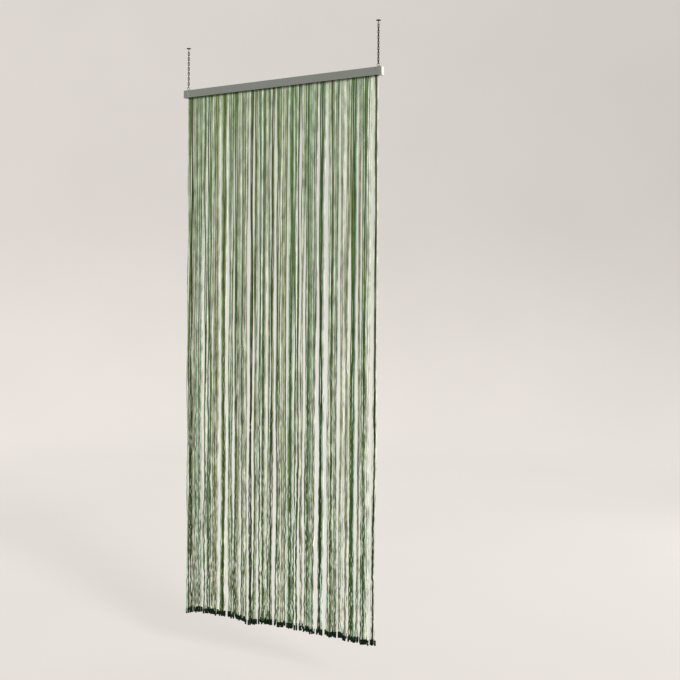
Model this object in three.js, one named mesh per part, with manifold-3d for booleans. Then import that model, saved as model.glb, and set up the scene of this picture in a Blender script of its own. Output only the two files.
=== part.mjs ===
// String curtain: twisted cords hanging from a plain rail that two short chains carry.
// Millimetres. +X runs along the rail to the right end as seen from the front, +Y points to
// the back and +Z up. The origin lies in the ceiling's plane, midway between the two hooks.

import * as THREE from 'three';
import { mergeGeometries, mergeVertices } from 'three/addons/utils/BufferGeometryUtils.js';
import Module from 'manifold-3d';

const wasm = await Module();
wasm.setup();

// Clearance between pieces that touch, and how far pieces run into each other to be joined
const GAP = 0.3;
const JOIN = 1;

// Rail: a channel with its open side down, closed by an end cap at each end
const RAIL_LENGTH = 900;
const RAIL_DEPTH = 20;
const RAIL_HEIGHT = 30;
const RAIL_WALL = 1.6;
const RAIL_SLOT = 13;
const RAIL_EDGE = 0.8;
const CAP_LENGTH = 22;
const CAP_PROUD = 0.4;
const CAP_BEVEL = 0.6;
const PLUG_LENGTH = 14;

// Screw eyes on the caps, and hooks with a round plate under the ceiling
const EYE_FROM_END = 17.5;
const EYE_CENTRE = 9;
const RING_RADIUS = 5.3;
const RING_WIRE = 2.2;
const COLLAR_RADIUS = 2.6;
const COLLAR_HEIGHT = 1.2;
const SHANK_RADIUS = 1.4;
const SHANK_LENGTH = 8;
const PLATE_RADIUS = 9;
const PLATE_THICKNESS = 2.5;
const HOOK_STEM = 6;
const HOOK_FROM = 97;
const HOOK_TO = -220;

// Chains: equal oval links, each turned a quarter round the one below
const LINK_COUNT = 14;
const LINK_PITCH = 10;
const LINK_WIDTH = 7.2;
const LINK_WIRE = 2;
const CHAIN_TURN = { left: 38, right: 0 };

// Sides of the wires and bars, and steps round their bends
const WIRE_SIDES = 6;
const LINK_SIDES = 5;
const LINK_STEPS = 10;
const BEND_STEPS = 14;
const BAR_SIDES = 12;
const PLATE_SIDES = 20;
const EDGE_STEPS = 2;

// Heading strip that lies on the rail's lips and carries every cord
const STRIP_HEIGHT = 8;
const STRIP_END = 3;

// Cords: two staggered rows of three-sided strands, each ending in a thicker dark sleeve
const CORD_COUNT = 170;
const CORD_SPAN = 862;
const CORD_RADIUS = 2.5;
const ROW_DEPTH = 5.2;
const CURTAIN_DROP = 2116;
const SLEEVE_RADIUS = 2.9;
const SLEEVE_LENGTH = 20;
const SLEEVE_STEP = 0.5;
const SECTION_DEPTHS = [70, 350, 750, 1150, 1550];
const LENGTH_SPREAD = 6;
const SECTION_TURN = 24;

// The cords gather into locks as they fall. A row for each gap between two locks: its place
// along the rail, its width once open, and how far under the rail it has half opened.
const GAPS = [
  { at: -353, width: 8, opens: 450 },
  { at: -269, width: 9, opens: 200 },
  { at: -235, width: 11, opens: 500 },
  { at: -203, width: 5, opens: 500 },
  { at: -167, width: 4, opens: 500 },
  { at: -134, width: 9, opens: 120 },
  { at: -111, width: 7, opens: 250 },
  { at: -87, width: 8, opens: 450 },
  { at: -44, width: 5, opens: 200 },
  { at: -12, width: 8, opens: 250 },
  { at: 46, width: 6, opens: 110 },
  { at: 76, width: 4, opens: 250 },
  { at: 104, width: 5, opens: 150 },
  { at: 124, width: 17, opens: 1200 },
  { at: 182, width: 14, opens: 500 },
  { at: 217, width: 14, opens: 150 },
  { at: 273, width: 6, opens: 120 },
  { at: 303, width: 5, opens: 250 },
  { at: 319, width: 10, opens: 500 },
  { at: 351, width: 11, opens: 200 },
  { at: 369, width: 4, opens: 400 },
  { at: 413, width: 11, opens: 60 },
];

// How much shorter than the longest the cords hang, in a row for each place along the rail
const TRIMS = [
  { at: -430, trim: 6 },
  { at: -360, trim: 16 },
  { at: -190, trim: 16 },
  { at: -120, trim: 0 },
  { at: -60, trim: 15 },
  { at: 110, trim: 12 },
  { at: 200, trim: 8 },
  { at: 295, trim: 10 },
  { at: 330, trim: 3 },
  { at: 430, trim: 4 },
];

// Sway of each lock as a whole, and of each cord within its lock
const LOCK_SWAY = 2.2;
const LOCK_WAVE = 1500;
const CORD_SWAY = 0.4;
const CORD_WAVE = 800;
const CORD_WAVE_SPREAD = 600;
const DEPTH_SWAY = 0.6;

// How far the curtain has moved to the left at its foot, and the share by which it narrows
const LEAN = 3.5;
const NARROWING = 0.012;

// Steps that scatter the phases evenly over a run of whole numbers
const GOLDEN = 0.618034;
const SILVER = 0.754878;
const BRONZE = 0.56984;

// Levels that follow from the sizes above, from the ceiling down
const linkInside = LINK_PITCH + GAP;
const railToFirstLink = EYE_CENTRE + RING_RADIUS - RING_WIRE / 2 - GAP + linkInside / 2;
const railToLastLink = railToFirstLink + (LINK_COUNT - 1) * LINK_PITCH;
const railToHook = railToLastLink + linkInside / 2 - GAP + RING_RADIUS - RING_WIRE / 2;
const chainDrop = railToHook + RING_RADIUS + HOOK_STEM + PLATE_THICKNESS;
const railTop = -chainDrop;
const railBottom = railTop - RAIL_HEIGHT;
const stripBottom = railBottom + RAIL_WALL + GAP;
const stripTop = stripBottom + STRIP_HEIGHT;
const capInner = RAIL_LENGTH / 2 - CAP_LENGTH;
const innerHalf = RAIL_DEPTH / 2 - RAIL_WALL;
const eyeX = RAIL_LENGTH / 2 - EYE_FROM_END;
const stripReach = CORD_SPAN / 2 + STRIP_END;

const degrees = THREE.MathUtils.degToRad;

const railGrey = new THREE.MeshStandardMaterial({ color: 0x85897f, roughness: 0.5, metalness: 0.6 });
const capGrey = new THREE.MeshStandardMaterial({ color: 0x7f8377, roughness: 0.55, metalness: 0 });
const brightSteel = new THREE.MeshStandardMaterial({ color: 0xc9c8c2, roughness: 0.3, metalness: 1 });
const darkSteel = new THREE.MeshStandardMaterial({ color: 0x2c2523, roughness: 0.45, metalness: 1 });
const cordGreen = new THREE.MeshStandardMaterial({ color: 0x8ea384, roughness: 0.6, metalness: 0 });

// A closed geometry as a solid that can be cut and joined
function toSolid(geometry) {
  const bare = geometry.clone();
  bare.deleteAttribute('normal');
  bare.deleteAttribute('uv');
  const merged = mergeVertices(bare, 1e-4);
  const vertProperties = new Float32Array(merged.attributes.position.array);
  const triVerts = new Uint32Array(merged.index.array);
  return new wasm.Manifold(new wasm.Mesh({ numProp: 3, vertProperties, triVerts }));
}

// A cut or joined solid as a geometry again
function toGeometry(solid) {
  const mesh = solid.getMesh();
  const geometry = new THREE.BufferGeometry();
  geometry.setAttribute('position', new THREE.BufferAttribute(mesh.vertProperties, 3));
  geometry.setIndex(new THREE.BufferAttribute(mesh.triVerts, 1));
  return geometry;
}

// An outline in Y and Z, extruded along +X
function extrudeAlongX(shape, options) {
  const geometry = new THREE.ExtrudeGeometry(shape, options);
  const alongX = new THREE.Matrix4().makeBasis(
    new THREE.Vector3(0, 1, 0), new THREE.Vector3(0, 0, 1), new THREE.Vector3(1, 0, 0));
  return geometry.applyMatrix4(alongX);
}

// A rectangle round the point (0, middle) with small round corners
function roundedRectangle(halfWidth, halfHeight, middle, radius) {
  const shape = new THREE.Shape();
  const low = middle - halfHeight + radius;
  const high = middle + halfHeight - radius;
  const side = halfWidth - radius;
  shape.moveTo(-side, low - radius);
  shape.absarc(side, low, radius, -Math.PI / 2, 0, false);
  shape.absarc(side, high, radius, 0, Math.PI / 2, false);
  shape.absarc(-side, high, radius, Math.PI / 2, Math.PI, false);
  shape.absarc(-side, low, radius, Math.PI, 1.5 * Math.PI, false);
  return shape;
}

// A round bar along Z between two levels
function uprightBar(radius, bottom, top, sides) {
  const bar = new THREE.CylinderGeometry(radius, radius, top - bottom, sides);
  bar.rotateX(Math.PI / 2);
  bar.translate(0, 0, (top + bottom) / 2);
  return bar;
}

// Rail: top wall, two side walls and two lips that leave the slot open underneath
function railGeometry() {
  const side = RAIL_DEPTH / 2;
  const slot = RAIL_SLOT / 2;
  const lipTop = railBottom + RAIL_WALL;
  const shape = roundedRectangle(side, RAIL_HEIGHT / 2, railTop - RAIL_HEIGHT / 2, RAIL_EDGE);
  const body = toSolid(extrudeAlongX(shape, {
    depth: 2 * (capInner - GAP), bevelEnabled: false, curveSegments: EDGE_STEPS }));
  const channel = new THREE.BoxGeometry(RAIL_LENGTH, 2 * innerHalf, railTop - RAIL_WALL - lipTop);
  channel.translate(capInner - GAP, 0, (railTop - RAIL_WALL + lipTop) / 2);
  const opening = new THREE.BoxGeometry(RAIL_LENGTH, 2 * slot, 2 * RAIL_WALL + JOIN);
  opening.translate(capInner - GAP, 0, railBottom + RAIL_WALL / 2);
  const geometry = toGeometry(body.subtract(toSolid(channel)).subtract(toSolid(opening)));
  return geometry.translate(-(capInner - GAP), 0, 0);
}

// End cap: a block as tall and deep as the rail, a plug that fills the channel over the heading
// strip, a pocket that is open underneath for the strip's end, and a hole for the eye's shank
function capGeometry(side) {
  const outline = roundedRectangle(RAIL_DEPTH / 2 + CAP_PROUD - CAP_BEVEL,
    RAIL_HEIGHT / 2 + CAP_PROUD - CAP_BEVEL, railTop - RAIL_HEIGHT / 2, RAIL_EDGE);
  const block = extrudeAlongX(outline, {
    depth: CAP_LENGTH - 2 * CAP_BEVEL, curveSegments: EDGE_STEPS,
    bevelThickness: CAP_BEVEL, bevelSize: CAP_BEVEL, bevelSegments: 1 });
  block.translate(capInner + CAP_BEVEL, 0, 0);
  const plugBottom = stripTop + GAP;
  const plugTop = railTop - RAIL_WALL - GAP;
  const plug = new THREE.BoxGeometry(PLUG_LENGTH + JOIN, 2 * (innerHalf - GAP), plugTop - plugBottom);
  plug.translate(capInner + (JOIN - PLUG_LENGTH) / 2, 0, (plugTop + plugBottom) / 2);
  const pocketLow = railBottom - CAP_PROUD - JOIN;
  const pocket = new THREE.BoxGeometry(
    stripReach + GAP - capInner + JOIN, 2 * innerHalf, stripTop + GAP - pocketLow);
  pocket.translate((stripReach + GAP + capInner - JOIN) / 2, 0, (stripTop + GAP + pocketLow) / 2);
  const hole = uprightBar(SHANK_RADIUS + GAP, railTop - SHANK_LENGTH - GAP, railTop + JOIN, BAR_SIDES);
  hole.translate(eyeX, 0, 0);
  const geometry = toGeometry(toSolid(block).add(toSolid(plug))
    .subtract(toSolid(pocket)).subtract(toSolid(hole)));
  if (side < 0) {
    geometry.rotateZ(Math.PI);
  }
  return geometry;
}

// Screw eye: a wire ring on a collar, with its shank in the cap's hole
function eyeGeometry() {
  const seat = railTop + CAP_PROUD + GAP;
  const ring = new THREE.TorusGeometry(RING_RADIUS, RING_WIRE / 2, WIRE_SIDES, BEND_STEPS);
  ring.rotateX(Math.PI / 2);
  ring.translate(0, 0, railTop + EYE_CENTRE);
  const collar = uprightBar(COLLAR_RADIUS, seat, seat + COLLAR_HEIGHT, BAR_SIDES);
  const stem = uprightBar(RING_WIRE / 2, seat, railTop + EYE_CENTRE - RING_RADIUS, WIRE_SIDES);
  const shank = uprightBar(SHANK_RADIUS, railTop - SHANK_LENGTH, seat + COLLAR_HEIGHT / 2, BAR_SIDES);
  return toGeometry(toSolid(ring).add(toSolid(collar)).add(toSolid(stem)).add(toSolid(shank)));
}

// Ceiling hook: a round plate, a stem and a wire hook with a narrow throat
function hookGeometry() {
  const centre = railTop + railToHook;
  const arc = [];
  for (let i = 0; i <= BEND_STEPS; i += 1) {
    const angle = degrees(HOOK_FROM + (HOOK_TO - HOOK_FROM) * i / BEND_STEPS);
    arc.push(new THREE.Vector3(0, RING_RADIUS * Math.cos(angle), centre + RING_RADIUS * Math.sin(angle)));
  }
  const wire = new THREE.ExtrudeGeometry(
    new THREE.Shape().absarc(0, 0, RING_WIRE / 2, 0, 2 * Math.PI, false),
    { steps: BEND_STEPS, curveSegments: WIRE_SIDES, extrudePath: new THREE.CatmullRomCurve3(arc) });
  const stem = uprightBar(RING_WIRE / 2, centre + RING_RADIUS, -PLATE_THICKNESS / 2, WIRE_SIDES);
  const plate = uprightBar(PLATE_RADIUS, -PLATE_THICKNESS, 0, PLATE_SIDES);
  return toGeometry(toSolid(wire).add(toSolid(stem)).add(toSolid(plate)));
}

// Chain link: a ring of wire drawn out along Z, lying in the plane of X and Z
function linkGeometry() {
  const bend = (LINK_WIDTH - LINK_WIRE) / 2;
  const link = new THREE.TorusGeometry(bend, LINK_WIRE / 2, LINK_SIDES, LINK_STEPS);
  link.rotateZ(Math.PI / 2);
  const stretch = (linkInside + LINK_WIRE) / 2 - bend;
  const position = link.attributes.position;
  for (let i = 0; i < position.count; i += 1) {
    const y = position.getY(i);
    position.setY(i, y + Math.sign(y) * stretch);
  }
  return link.rotateX(Math.PI / 2);
}

// A value read off a table of places along the rail, with straight lines between its rows
function readTable(rows, key, x) {
  const last = rows.length - 1;
  if (x <= rows[0].at) {
    return rows[0][key];
  }
  for (let i = 0; i < last; i += 1) {
    const low = rows[i];
    const high = rows[i + 1];
    if (x <= high.at) {
      return low[key] + (high[key] - low[key]) * (x - low.at) / (high.at - low.at);
    }
  }
  return rows[last][key];
}

// How far a gap has opened at a depth under the rail, from 0 to 1
function opened(gap, depth) {
  return 1 - Math.pow(0.5, depth / gap.opens);
}

// Where a cord that leaves the strip at home hangs at a depth under the rail
function hang(cord, home, depth) {
  const edge = { at: CORD_SPAN / 2 + CORD_RADIUS, width: 0, opens: 1 };
  const bounds = [{ ...edge, at: -edge.at }, ...GAPS, edge];
  const lock = bounds.findLastIndex((gap) => gap.at <= home);
  const left = bounds[lock];
  const right = bounds[lock + 1];
  const low = left.at + opened(left, depth) * left.width / 2;
  const high = right.at - opened(right, depth) * right.width / 2;
  const gathered = low + (high - low) * (home - left.at) / (right.at - left.at);
  const grown = 1 - Math.pow(0.5, depth / CORD_WAVE);
  const lockSway = LOCK_SWAY * grown * wave(depth / LOCK_WAVE + lock * GOLDEN);
  const cordWave = CORD_WAVE + CORD_WAVE_SPREAD * (cord * SILVER % 1);
  const cordSway = CORD_SWAY * grown * wave(depth / cordWave + cord * GOLDEN);
  const depthSway = DEPTH_SWAY * grown * wave(depth / cordWave + cord * BRONZE);
  const way = depth / CURTAIN_DROP;
  const leant = gathered * (1 - NARROWING * way) - LEAN * way;
  return { x: leant + lockSway + cordSway, y: depthSway };
}

// A sine whose period is one turn
function wave(turns) {
  return Math.sin(2 * Math.PI * turns);
}

// One strand: three-sided rings down its length, its flat side to the other row
function strandGeometry(cord) {
  const home = CORD_SPAN * (cord / (CORD_COUNT - 1) - 0.5);
  const front = cord % 2 === 0 ? -1 : 1;
  const shorter = readTable(TRIMS, 'trim', home) + LENGTH_SPREAD * (cord * BRONZE % 1);
  const end = CURTAIN_DROP - RAIL_HEIGHT - shorter;
  const turn = degrees(SECTION_TURN) * (cord * SILVER % 1 - 0.5);
  const rings = [{ depth: stripBottom - railBottom + JOIN, radius: CORD_RADIUS, root: true }];
  for (const depth of SECTION_DEPTHS) {
    rings.push({ depth, radius: CORD_RADIUS });
  }
  rings.push({ depth: end - SLEEVE_LENGTH - SLEEVE_STEP, radius: CORD_RADIUS });
  rings.push({ depth: end - SLEEVE_LENGTH, radius: SLEEVE_RADIUS });
  rings.push({ depth: end, radius: SLEEVE_RADIUS });
  const points = [];
  for (const ring of rings) {
    const place = ring.root ? { x: home, y: 0 } : hang(cord, home, ring.depth);
    const level = ring.root ? railBottom + ring.depth : railBottom - ring.depth;
    for (let corner = 0; corner < 3; corner += 1) {
      const angle = Math.PI / 2 * front + corner * 2 * Math.PI / 3 + turn;
      points.push(place.x + ring.radius * Math.cos(angle),
        front * ROW_DEPTH / 2 + place.y + ring.radius * Math.sin(angle), level);
    }
  }
  const faces = [0, 1, 2];
  for (let ring = 0; ring < rings.length - 1; ring += 1) {
    for (let corner = 0; corner < 3; corner += 1) {
      const next = (corner + 1) % 3;
      const a = 3 * ring + corner;
      const b = 3 * ring + next;
      faces.push(a, a + 3, b, b, a + 3, b + 3);
    }
  }
  const lowest = 3 * (rings.length - 1);
  faces.push(lowest, lowest + 2, lowest + 1);
  const geometry = new THREE.BufferGeometry();
  geometry.setAttribute('position', new THREE.Float32BufferAttribute(points, 3));
  geometry.setIndex(faces);
  return geometry;
}

// Heading strip with all its strands, fused at their roots
function curtainGeometry() {
  const strip = new THREE.BoxGeometry(2 * stripReach, 2 * (innerHalf - GAP), STRIP_HEIGHT);
  strip.translate(0, 0, (stripTop + stripBottom) / 2);
  const strands = [];
  for (let cord = 0; cord < CORD_COUNT; cord += 1) {
    strands.push(strandGeometry(cord));
  }
  return toGeometry(toSolid(strip).add(toSolid(mergeGeometries(strands))));
}

function addPiece(group, name, geometry, material) {
  const mesh = new THREE.Mesh(geometry, material);
  mesh.name = name;
  group.add(mesh);
  return mesh;
}

// Eye, chain and ceiling hook over one end of the rail, turned together about the chain's line
function hangerGroup(name, side) {
  const group = new THREE.Group();
  group.position.x = side * eyeX;
  group.rotation.z = degrees(CHAIN_TURN[name]);
  addPiece(group, `screw_eye_${name}`, eyeGeometry(), brightSteel);
  for (let i = 0; i < LINK_COUNT; i += 1) {
    const number = String(i + 1).padStart(2, '0');
    const link = addPiece(group, `chain_link_${name}_${number}`, linkGeometry(), darkSteel);
    link.position.z = railTop + railToFirstLink + i * LINK_PITCH;
    link.rotation.z = i % 2 === 0 ? Math.PI / 2 : 0;
  }
  addPiece(group, `ceiling_hook_${name}`, hookGeometry(), darkSteel);
  return group;
}

const curtain = new THREE.Group();
addPiece(curtain, 'rail', railGeometry(), railGrey);
addPiece(curtain, 'end_cap_left', capGeometry(-1), capGrey);
addPiece(curtain, 'end_cap_right', capGeometry(1), capGrey);
addPiece(curtain, 'cord_curtain', curtainGeometry(), cordGreen);
curtain.add(hangerGroup('left', -1));
curtain.add(hangerGroup('right', 1));

export default curtain;
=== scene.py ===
"""A string curtain of twisted cords under a rail that two short chains carry.

The tables and sizes are in millimetres; what goes to Blender is in metres. +X runs along the rail
to its right end, +Y points to the back and +Z up. The origin lies in the ceiling's plane, midway
between the two hooks. "Depth" is the way down from the rail's underside.
"""

import functools
import math

import bmesh
import bpy
import numpy as np
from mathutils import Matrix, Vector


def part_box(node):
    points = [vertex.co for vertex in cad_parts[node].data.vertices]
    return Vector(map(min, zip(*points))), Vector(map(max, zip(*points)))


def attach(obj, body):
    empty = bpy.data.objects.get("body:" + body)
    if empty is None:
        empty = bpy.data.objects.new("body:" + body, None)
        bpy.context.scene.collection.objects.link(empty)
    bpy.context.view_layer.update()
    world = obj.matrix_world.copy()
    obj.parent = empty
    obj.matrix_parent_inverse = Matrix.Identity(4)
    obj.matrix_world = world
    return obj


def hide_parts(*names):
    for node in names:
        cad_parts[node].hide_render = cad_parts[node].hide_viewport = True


bl_info = {
    "name": "String Curtain",
    "version": (1, 0, 0),
    "blender": (4, 5, 0),
    "location": "3D View > Sidebar > Curtain",
    "description": "Hangs a curtain of twisted cords under a rail with chains, eyes and hooks",
    "category": "Add Mesh",
}

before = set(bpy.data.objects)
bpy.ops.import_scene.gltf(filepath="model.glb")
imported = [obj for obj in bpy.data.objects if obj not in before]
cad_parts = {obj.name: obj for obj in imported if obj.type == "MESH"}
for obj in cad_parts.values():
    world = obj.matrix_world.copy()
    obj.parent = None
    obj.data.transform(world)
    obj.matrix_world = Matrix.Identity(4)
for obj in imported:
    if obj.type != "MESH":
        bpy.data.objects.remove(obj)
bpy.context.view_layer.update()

MM = 0.001
TURN = 2 * math.pi

# Points nearer than this, in metres, are one
WELD = 1e-7

# Levels and reaches of the solids, in millimetres
RAIL_LOW, RAIL_HIGH = (np.array(corner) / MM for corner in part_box("rail"))
RAIL_BOTTOM = RAIL_LOW[2]
RAIL_TOP = RAIL_HIGH[2]
STRIP_HIGH = np.array(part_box("cord_curtain")[1]) / MM
STRIP_HEIGHT = 8
STRIP_TOP = STRIP_HIGH[2]
STRIP_BOTTOM = STRIP_TOP - STRIP_HEIGHT

# Rounding of the strip's long edges; its section shrinks to a share over its last stretch
STRIP_EDGE = 1.2
STRIP_TAPER = 0.6
STRIP_END_SHARE = 0.9

# The caps' outer faces carry a painted highlight, a paler colour: from this far out along the
# rail, and from this Y backwards
PAINTED_HIGHLIGHT_X = 449.7
PAINTED_HIGHLIGHT_Y = -6.5

# Cords: two loose rows, each cord home at its own place along the strip. The curtain and the
# strip reach a little past the outer cords' middles
CORD_COUNT = 170
CORD_SPAN = 862
CORD_EDGE = 2.5
STRIP_END = 3

# Distance between the rows, and the share of it with which they start at the strip
ROW_DEPTH = 2.6
ROW_START = 0.3

# Longest depth of a cord's end, how far the lengths scatter, how far a cord reaches into the
# strip, and how far it stops short of its sleeve's end
CURTAIN_FALL = 2086
LENGTH_SPREAD = 10
STRIP_OVERLAP = 1
SLEEVE_OVERLAP = 6

# Build of a cord: sides, plies, rings of corners and how much closer they lie lower down. In
# every HAND_REPEAT cords, the one numbered OTHER_HAND has its plies twisted the other way
CORD_SIDES = 8
PLIES = 4
RING_COUNT = 240
RING_CROWDING = 0.45
HAND_REPEAT = 8
OTHER_HAND = 5

# Cords and sleeves bed into their neighbours: their middles keep this many radii apart
BEDDING = 1.96

# What a strip of the second map leaves free at each side, as a share of its width, and at each
# end, as a share of the map
PACK_SIDE = 0.05
PACK_END = 0.002

# An end sleeve: its sides, and its profile from its head down to its foot, as shares of its
# radius and length
SLEEVE_SIDES = 8
SLEEVE_PROFILE = np.array([
    (0, 0.04), (0.72, 0), (1, 0.07), (0.96, 0.5), (1, 0.93), (0.72, 1), (0, 0.97),
], dtype=[("radius", float), ("down", float)])

# Steps that scatter the phases evenly over a run of whole numbers
GOLDEN = 0.618034
SILVER = 0.754878
BRONZE = 0.56984

# The cords gather into locks as they fall: place of each gap along the rail, its width once
# open, and how far down it has half opened
GAPS = np.array([
    (-353, 8, 450), (-269, 9, 200), (-235, 11, 500), (-203, 5, 500), (-167, 4, 500),
    (-134, 9, 120), (-111, 7, 250), (-87, 8, 450), (-44, 5, 200), (-12, 8, 250), (46, 6, 110),
    (76, 4, 250), (104, 5, 150), (124, 17, 1200), (182, 14, 500), (217, 14, 150), (273, 6, 120),
    (303, 5, 250), (319, 10, 500), (351, 11, 200), (369, 4, 400), (413, 11, 60),
], dtype=[("at", float), ("width", float), ("opens", float)])

# Round cords lie closer in their locks than the solids' strands, so each gap is this much wider
GAP_SPREAD = 3.5

# How much shorter than the longest the cords hang, for places along the rail
TRIMS = np.array([
    (-430, 6), (-360, 16), (-190, 16), (-120, 0), (-60, 15), (110, 12), (200, 8), (295, 10),
    (330, 3), (430, 4),
], dtype=[("at", float), ("trim", float)])

# How far the curtain has moved to the left at its foot, and the share by which it narrows
LEAN = 3.5
NARROWING = 0.012

# Sway of each lock as a whole and of each cord within its lock, with the lengths of their waves.
# It has half grown by SWAY_GROWTH
LOCK_SWAY = 1.4
LOCK_WAVE = 1500
CORD_SWAY = 1.3
CORD_WAVE = 420
CORD_WAVE_SPREAD = 600
DEPTH_SWAY = 1.6
SWAY_GROWTH = 160

# Curls: shortest and longest wave, and share of the reach. The reach starts with a share of
# what it has at the ends, and is less to the front and back than to the sides
CURLS = np.array([
    (110, 190, 0.5), (50, 85, 0.3), (26, 44, 0.35),
], dtype=[("shortest", float), ("longest", float), ("share", float)])
CURL_START = 0.06
CURL_BACK = 0.6
SEED = 7

# Paths: distance between their points and how far they run on past the longest cord
PATH_STEP = 5.0
PATH_SPARE = 12

# Pushing apart: turns, how many of them at the end are unsmoothed, and which neighbours count.
# The strip holds the cords over HELD, and the sleeves' clearance grows over END_GROWTH, from
# END_START above the longest cord's end
PUSH_TURNS = 30
ROUGH_TURNS = 6
NEIGHBOURS = (1, 2, 3, 4)
HELD = 60
END_START = 60
END_GROWTH = 35

# Shades of the cords: p pale, m mint, s sage, l leaf, e sea green, o olive
SHADES = {"p": "pale", "m": "mint", "s": "sage", "l": "leaf", "e": "sea", "o": "olive"}
REPEAT = "mspmlspmsempslmpsmspemslpmspslmp"

# Yarn: the mean colour of all the cords, the share with which it hides a cord's own colour at
# the ceiling, and how much of that share goes over the curtain's fall, down to nought
MEAN_SHADE = (0.28, 0.36, 0.22)
HAZE = 0.2
HAZE_LOSS = 0.3

# Yarn: how much a cord's own tone, the clouds along it (partly tone, partly a painted sheen)
# and its depth (a painted shade of the locks) make it lighter or darker, and how dark and
# light it gets
TONE_SHARE = 0.4
CLOUD_SHARE = 2.6
CLOUD_BIAS = 0.9
# DEEPENING paints dark cords darker lower down, a painted shade of the locks they gather into
DEEPENING = 0.6
YARN_DARK = 0.5
YARN_LIGHT = 1.4

# Yarn: fibres round a cord and their slant, and the share of the colour in the plies' valleys
FIBRES = 44
FIBRE_SLANT = 9
VALLEY = 0.3

# Tape, in metres: width of a rib across the strip and of a thread along it
RIB_WIDTH = 0.0012
THREAD_WIDTH = 0.0016

# Backdrop: the root of its glow at the ceiling's level, and what each metre down adds to it
GLOW_START = 0.19
GLOW_GROWTH = 0.33

# Streaks that stand out: place along the rail, how many cords, and their shades in turn, the
# middle cord's first
STREAKS = np.array([
    (-420, 4, "lelo"), (-396, 2, "ms"), (-376, 1, "s"), (-348, 2, "le"), (-336, 2, "p"),
    (-316, 2, "el"), (-292, 1, "l"), (-280, 1, "s"), (-257, 2, "lo"), (-214, 1, "l"),
    (-196, 2, "el"), (-158, 2, "sp"), (-122, 3, "leo"), (-99, 3, "lsl"), (-82, 1, "e"),
    (-60, 3, "les"), (-20, 2, "lo"), (4, 1, "l"), (66, 3, "lel"), (96, 2, "le"), (112, 2, "p"),
    (140, 2, "le"), (158, 2, "m"), (196, 3, "leo"), (240, 2, "lo"), (292, 3, "pmp"),
    (335, 5, "lelel"), (362, 1, "m"), (385, 3, "lel"), (408, 2, "p"), (424, 3, "o"), (431, 1, "p"),
], dtype=[("at", float), ("cords", int), ("shades", "U5")])


class CordSettings(bpy.types.PropertyGroup):
    """What a user would change on the cords."""

    radius: bpy.props.FloatProperty(
        name="Radius", description="From a cord's middle to its outside",
        default=0.0023, min=0.001, max=0.005, unit="LENGTH")
    lay: bpy.props.FloatProperty(
        name="Lay", description="Length of one full turn of the plies",
        default=0.019, min=0.008, max=0.04, unit="LENGTH")
    curl: bpy.props.FloatProperty(
        name="Curl", description="How far the cords curl to each side at their ends",
        default=0.0026, min=0, max=0.004, unit="LENGTH")
    roughness: bpy.props.FloatProperty(
        name="Roughness", description="Roughness of the satin yarn", default=0.42, min=0.1,
        max=1, subtype="FACTOR")
    pale: bpy.props.FloatVectorProperty(
        name="Pale", description="Colour of the palest cords", default=(0.63, 0.7, 0.56),
        size=3, min=0, max=1, subtype="COLOR")
    mint: bpy.props.FloatVectorProperty(
        name="Mint", description="Colour of the mint cords", default=(0.39, 0.55, 0.41),
        size=3, min=0, max=1, subtype="COLOR")
    sage: bpy.props.FloatVectorProperty(
        name="Sage", description="Colour of the grey-green cords", default=(0.35, 0.385, 0.24),
        size=3, min=0, max=1, subtype="COLOR")
    leaf: bpy.props.FloatVectorProperty(
        name="Leaf", description="Colour of the leaf green cords", default=(0.115, 0.19, 0.03),
        size=3, min=0, max=1, subtype="COLOR")
    sea: bpy.props.FloatVectorProperty(
        name="Sea green", description="Colour of the sea green cords",
        default=(0.074, 0.17, 0.076), size=3, min=0, max=1, subtype="COLOR")
    olive: bpy.props.FloatVectorProperty(
        name="Olive", description="Colour of the darkest cords", default=(0.038, 0.056, 0.014),
        size=3, min=0, max=1, subtype="COLOR")


class SleeveSettings(bpy.types.PropertyGroup):
    """What a user would change on the end sleeves."""

    length: bpy.props.FloatProperty(
        name="Length", description="Length of an end sleeve", default=0.02, min=0.008,
        max=0.03, unit="LENGTH")
    radius: bpy.props.FloatProperty(
        name="Radius", description="Radius of an end sleeve", default=0.0036, min=0.002,
        max=0.005, unit="LENGTH")
    colour: bpy.props.FloatVectorProperty(
        name="Colour", description="Colour of the end sleeves", default=(0.003, 0.011, 0.005),
        size=3, min=0, max=1, subtype="COLOR")


class RailSettings(bpy.types.PropertyGroup):
    """What a user would change on the rail, its caps and the heading strip."""

    metal: bpy.props.FloatVectorProperty(
        name="Rail", description="Colour of the rail's metal", default=(0.24, 0.262, 0.238),
        size=3, min=0, max=1, subtype="COLOR")
    cap: bpy.props.FloatVectorProperty(
        name="Caps", description="Colour of the end caps", default=(0.17, 0.185, 0.155),
        size=3, min=0, max=1, subtype="COLOR")
    # Painted highlight: the paler colour of the end caps' outer faces
    end: bpy.props.FloatVectorProperty(
        name="Ends", description="Colour of the end caps' outer faces",
        default=(0.62, 0.62, 0.56), size=3, min=0, max=1, subtype="COLOR")
    strip: bpy.props.FloatVectorProperty(
        name="Strip", description="Colour of the heading strip's tape",
        default=(0.05, 0.06, 0.045), size=3, min=0, max=1, subtype="COLOR")


class HangerSettings(bpy.types.PropertyGroup):
    """What a user would change on the eyes, chains and ceiling hooks."""

    link_wire: bpy.props.FloatProperty(
        name="Link wire", description="Thickness of a chain link's wire", default=0.0027,
        min=0.001, max=0.003, unit="LENGTH")
    ring_wire: bpy.props.FloatProperty(
        name="Ring wire", description="Thickness of the wire of the eyes and hooks",
        default=0.0022, min=0.001, max=0.003, unit="LENGTH")
    bright: bpy.props.FloatVectorProperty(
        name="Eyes", description="Colour of the bright steel", default=(0.2, 0.2, 0.165),
        size=3, min=0, max=1, subtype="COLOR")
    dark: bpy.props.FloatVectorProperty(
        name="Chains", description="Colour of the dark steel", default=(0.012, 0.008, 0.006),
        size=3, min=0, max=1, subtype="COLOR")


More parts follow.
